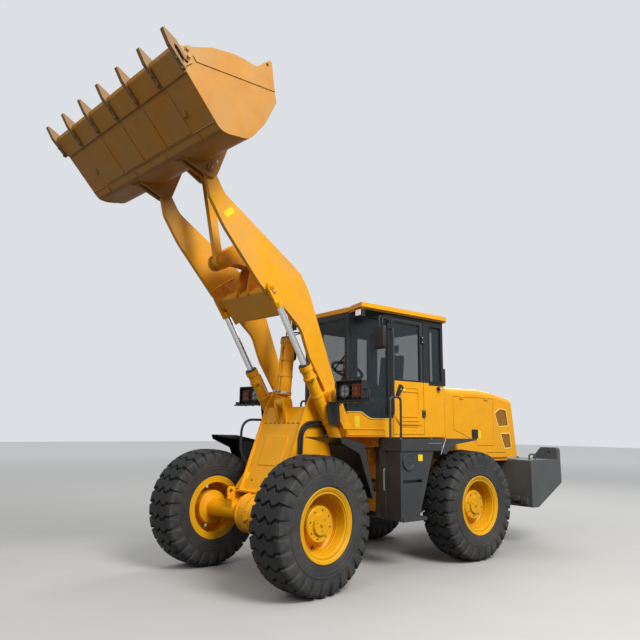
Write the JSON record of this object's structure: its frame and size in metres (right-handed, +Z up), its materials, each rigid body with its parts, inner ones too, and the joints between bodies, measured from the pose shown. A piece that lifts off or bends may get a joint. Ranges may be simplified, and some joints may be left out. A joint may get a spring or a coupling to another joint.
{
  "type": "articulated wheel loader",
  "caption": "Articulated wheel loader with a raised boom, a tilting toothed bucket, a rocker linkage, an enclosed cab with opening doors, and a rear engine hood with a counterweight",
  "frame": {"origin": "middle of the whole machine's box at floor level, as parked with its boom raised and its front half steered 6.5 degrees left", "axes": "+X runs forward along the rear half, +Y to the driver's left, +Z up"},
  "size_m": [7.1316, 2.7682, 5.1411],
  "materials": {
    "yellow_paint": "gloss yellow paint, lightly worn",
    "dark_paint": "satin dark grey paint",
    "weight_paint": "satin dark grey paint on cast iron",
    "engine_iron": "dark painted castings",
    "tyre": "matt black rubber",
    "chrome_rod": "hard chrome plated rod",
    "glass": "lightly tinted flat glass",
    "mesh": "perforated orange-brown sheet",
    "seat_fabric": "dark woven seat cover",
    "black_plastic": "moulded black plastic",
    "worn_steel": "worn steel edge"
  },
  "bodies": {
    "rear_body": {"rear_frame": "yellow_paint", "rear_axle": "yellow_paint", "power_train": "engine_iron", "counterweight": "weight_paint", "tanks": "dark_paint", "deck": "dark_paint", "cab_body": "yellow_paint", "cab_frame": "dark_paint", "cab_glass": "glass", "cab_roof": "yellow_paint", "seat": "seat_fabric", "steering_column": "black_plastic", "handrails": "dark_paint", "mirrors": "black_plastic", "roof_lamps": "black_plastic", "hood": "yellow_paint", "hood_grilles": "mesh"},
    "front_half": {"front_frame": "yellow_paint", "front_axle": "yellow_paint", "front_fenders": "dark_paint", "headlamps": "black_plastic", "hoses": "black_plastic"},
    "boom": {"boom": "yellow_paint"},
    "rocker": {"rocker": "yellow_paint"},
    "bucket_link": {"bucket_link": "yellow_paint"},
    "bucket": {"bucket": "yellow_paint", "bucket_teeth": "worn_steel"},
    "tilt_barrel": {"tilt_barrel": "yellow_paint"},
    "tilt_rod": {"tilt_rod": "chrome_rod"},
    "door_left": {"door_left": "yellow_paint", "door_left_glass": "glass"},
    "door_right": {"door_right": "yellow_paint", "door_right_glass": "glass"},
    "hood_door_left": {"hood_door_left": "yellow_paint"},
    "hood_door_right": {"hood_door_right": "yellow_paint"},
    "wheel_fl": {"tyre_fl": "tyre", "rim_fl": "yellow_paint"},
    "wheel_fr": {"tyre_fr": "tyre", "rim_fr": "yellow_paint"},
    "wheel_rl": {"tyre_rl": "tyre", "rim_rl": "yellow_paint"},
    "wheel_rr": {"tyre_rr": "tyre", "rim_rr": "yellow_paint"},
    "lift_barrel_left": {"lift_barrel_left": "yellow_paint"},
    "lift_rod_left": {"lift_rod_left": "chrome_rod"},
    "steer_barrel_left": {"steer_barrel_left": "yellow_paint"},
    "steer_rod_left": {"steer_rod_left": "chrome_rod"},
    "lift_barrel_right": {"lift_barrel_right": "yellow_paint"},
    "lift_rod_right": {"lift_rod_right": "chrome_rod"},
    "steer_barrel_right": {"steer_barrel_right": "yellow_paint"},
    "steer_rod_right": {"steer_rod_right": "chrome_rod"}
  },
  "joints": [
    {"name": "steering", "type": "hinge", "parent": "rear_body", "child": "front_half", "pos_m": [-0.06582, -0.24605, 0.945], "axis": [0, 0, 1], "range_deg": [-41.5, 28.5]},
    {"name": "wheel_fl_spin", "type": "hinge", "parent": "front_half", "child": "wheel_fl", "pos_m": [1.19344, 0.82136, 0.667], "axis": [-0.1132, 0.9936, 0], "continuous": true},
    {"name": "wheel_fr_spin", "type": "hinge", "parent": "front_half", "child": "wheel_fr", "pos_m": [1.40128, -1.00284, 0.667], "axis": [-0.1132, 0.9936, 0], "continuous": true},
    {"name": "wheel_rl_spin", "type": "hinge", "parent": "rear_body", "child": "wheel_rl", "pos_m": [-1.43782, 0.67195, 0.667], "axis": [0, 1, 0], "continuous": true},
    {"name": "wheel_rr_spin", "type": "hinge", "parent": "rear_body", "child": "wheel_rr", "pos_m": [-1.43782, -1.16405, 0.667], "axis": [0, 1, 0], "continuous": true},
    {"name": "boom_lift", "type": "hinge", "parent": "front_half", "child": "boom", "pos_m": [0.60981, -0.16907, 1.95], "axis": [0.1132, -0.9936, 0], "range_deg": [-86.5, 0]},
    {"name": "bucket_tilt", "type": "hinge", "parent": "boom", "child": "bucket", "pos_m": [2.3893, 0.03367, 4.197], "axis": [-0.1132, 0.9936, 0], "range_deg": [-42, 92]},
    {"name": "rocker_turn", "type": "hinge", "parent": "boom", "child": "rocker", "pos_m": [1.30531, -0.08983, 3.56], "axis": [-0.1132, 0.9936, 0], "range_deg": [-33.62, 15.62]},
    {"name": "link_turn", "type": "hinge", "parent": "bucket", "child": "bucket_link", "pos_m": [2.11507, 0.00243, 4.33], "axis": [-0.1132, 0.9936, 0], "range_deg": [-75.02, 34.52]},
    {"name": "lift_barrel_left_turn", "type": "hinge", "parent": "front_half", "child": "lift_barrel_left", "pos_m": [0.34705, 0.28208, 1.31], "axis": [0.1132, -0.9936, 0], "range_deg": [-66.97, 0.5]},
    {"name": "lift_rod_left_slide", "type": "slide", "parent": "lift_barrel_left", "child": "lift_rod_left", "axis": [0.5358, 0.061, 0.8422], "range_m": [-0.69728, 0.004]},
    {"name": "lift_barrel_right_turn", "type": "hinge", "parent": "front_half", "child": "lift_barrel_right", "pos_m": [0.45527, -0.66777, 1.31], "axis": [0.1132, -0.9936, 0], "range_deg": [-66.97, 0.5]},
    {"name": "lift_rod_right_slide", "type": "slide", "parent": "lift_barrel_right", "child": "lift_rod_right", "axis": [0.5358, 0.061, 0.8422], "range_m": [-0.69728, 0.004]},
    {"name": "tilt_barrel_turn", "type": "hinge", "parent": "front_half", "child": "tilt_barrel", "pos_m": [0.91285, -0.13455, 1.887], "axis": [0.1132, -0.9936, 0], "range_deg": [-96.36, 0.5]},
    {"name": "tilt_rod_slide", "type": "slide", "parent": "tilt_barrel", "child": "tilt_rod", "axis": [-0.0872, -0.0099, 0.9961], "range_m": [-0.37017, 0.004]},
    {"name": "steer_barrel_left_turn", "type": "hinge", "parent": "rear_body", "child": "steer_barrel_left", "pos_m": [-0.48582, 0.01595, 0.9], "axis": [0, 0, 1], "range_deg": [-14.88, 10.38]},
    {"name": "steer_rod_left_slide", "type": "slide", "parent": "steer_barrel_left", "child": "steer_rod_left", "axis": [0.9993, 0.0387, 0], "range_m": [-0.12946, 0.18669]},
    {"name": "steer_barrel_right_turn", "type": "hinge", "parent": "rear_body", "child": "steer_barrel_right", "pos_m": [-0.48582, -0.50805, 0.9], "axis": [0, 0, 1], "range_deg": [-14.37, 10.02]},
    {"name": "steer_rod_right_slide", "type": "slide", "parent": "steer_barrel_right", "child": "steer_rod_right", "axis": [0.9992, 0.0403, 0], "range_m": [-0.19645, 0.13617]},
    {"name": "door_left_swing", "type": "hinge", "parent": "rear_body", "child": "door_left", "pos_m": [-0.87082, 0.48895, 2.25], "axis": [0, 0, 1], "range_deg": [0, 165]},
    {"name": "door_right_swing", "type": "hinge", "parent": "rear_body", "child": "door_right", "pos_m": [-0.87082, -0.98105, 2.25], "axis": [0, 0, -1], "range_deg": [0, 165]},
    {"name": "hood_door_left_swing", "type": "hinge", "parent": "rear_body", "child": "hood_door_left", "pos_m": [-1.99582, 0.40395, 2.048], "axis": [1, 0, 0], "range_deg": [0, 80]},
    {"name": "hood_door_right_swing", "type": "hinge", "parent": "rear_body", "child": "hood_door_right", "pos_m": [-1.99582, -0.89605, 2.048], "axis": [-1, 0, 0], "range_deg": [0, 80]}
  ],
  "couplings": [
    {"joint": "rocker_turn", "follows": "bucket_tilt", "ratio": -0.36},
    {"joint": "link_turn", "follows": "bucket_tilt", "ratio": -0.81},
    {"joint": "lift_barrel_left_turn", "follows": "boom_lift", "ratio": 0.76843},
    {"joint": "lift_rod_left_slide", "follows": "boom_lift", "m_per_rad": 0.45921},
    {"joint": "lift_barrel_right_turn", "follows": "boom_lift", "ratio": 0.76843},
    {"joint": "lift_rod_right_slide", "follows": "boom_lift", "m_per_rad": 0.45921},
    {"joint": "tilt_barrel_turn", "follows": "boom_lift", "ratio": 1.1082},
    {"joint": "tilt_rod_slide", "follows": "boom_lift", "m_per_rad": 0.24255},
    {"joint": "steer_barrel_left_turn", "follows": "steering", "ratio": 0.34656},
    {"joint": "steer_rod_left_slide", "follows": "steering", "m_per_rad": -0.25222},
    {"joint": "steer_barrel_right_turn", "follows": "steering", "ratio": 0.33414},
    {"joint": "steer_rod_right_slide", "follows": "steering", "m_per_rad": 0.2657}
  ]
}
